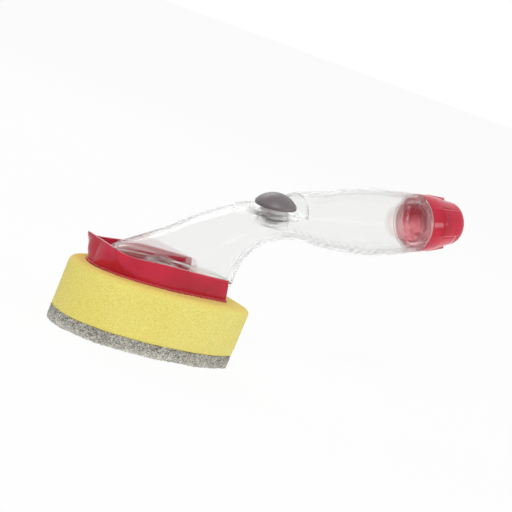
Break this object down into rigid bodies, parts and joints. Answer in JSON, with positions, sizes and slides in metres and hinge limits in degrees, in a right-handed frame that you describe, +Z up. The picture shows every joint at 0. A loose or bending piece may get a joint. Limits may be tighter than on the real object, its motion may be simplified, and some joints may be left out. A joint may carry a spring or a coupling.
{
  "type": "dish wand",
  "caption": "Soap-dispensing dish wand: clear hollow handle with a push-button pump and screw cap, on a slide-off sponge refill with a scouring face.",
  "frame": {"origin": "on the scouring face, midway between the sponge's toe and heel, in the wand's plane of symmetry", "axes": "+X along the wand from the sponge's toe to the screw cap, +Z up from the scouring face, +Y to the left seen from the cap"},
  "size_m": [0.2474, 0.066, 0.1222],
  "materials": {
    "scour_fibre": "coarse grey abrasive fibre",
    "foam": "yellow open-cell foam",
    "bond": "red glue film",
    "red_plastic": "glossy translucent red",
    "clear_plastic": "clear moulded plastic",
    "pale_rubber": "pale soft rubber",
    "red_rubber": "soft red sealing disc",
    "spring_steel": "bright spring wire",
    "pewter_plastic": "satin pewter grey",
    "grey_rubber": "soft grey seal"
  },
  "bodies": {
    "handle": {"base_plate": "clear_plastic", "base_gasket": "pale_rubber", "outlet_valve": "pale_rubber", "valve_retainer": "clear_plastic", "reservoir_shell": "clear_plastic", "pump_well": "clear_plastic", "pump_check_flap": "pale_rubber", "button_spring": "spring_steel", "filler_neck": "clear_plastic"},
    "refill": {"scouring_pad": "scour_fibre", "sponge_foam": "foam", "tray_bond": "bond", "sponge_tray": "red_plastic"},
    "button": {"button_cap": "pewter_plastic", "button_plunger": "pewter_plastic", "plunger_seal": "grey_rubber"},
    "liner": {"cap_liner": "red_rubber"},
    "cap": {"end_cap": "red_plastic"}
  },
  "joints": [
    {"name": "button_press", "type": "slide", "parent": "handle", "child": "button", "axis": [0.1668, 0, -0.986], "range_m": [0, 0.0025], "stiffness_N_per_m": 240, "springref_m": -0.003, "deforming": ["button_spring"]},
    {"name": "cap_lift", "type": "slide", "parent": "handle", "child": "liner", "axis": [0.9781, 0, 0.2079], "range_m": [0, 0.008]},
    {"name": "cap_turn", "type": "hinge", "parent": "liner", "child": "cap", "pos_m": [0.1649, 0, 0.1033], "axis": [0.9781, 0, 0.2079], "range_deg": [0, 720]},
    {"name": "refill_slide", "type": "slide", "parent": "handle", "child": "refill", "axis": [-1, 0, 0], "range_m": [0, 0.09]}
  ],
  "couplings": [
    {"joint": "cap_lift", "follows": "cap_turn", "m_per_rad": 0.00063662}
  ]
}
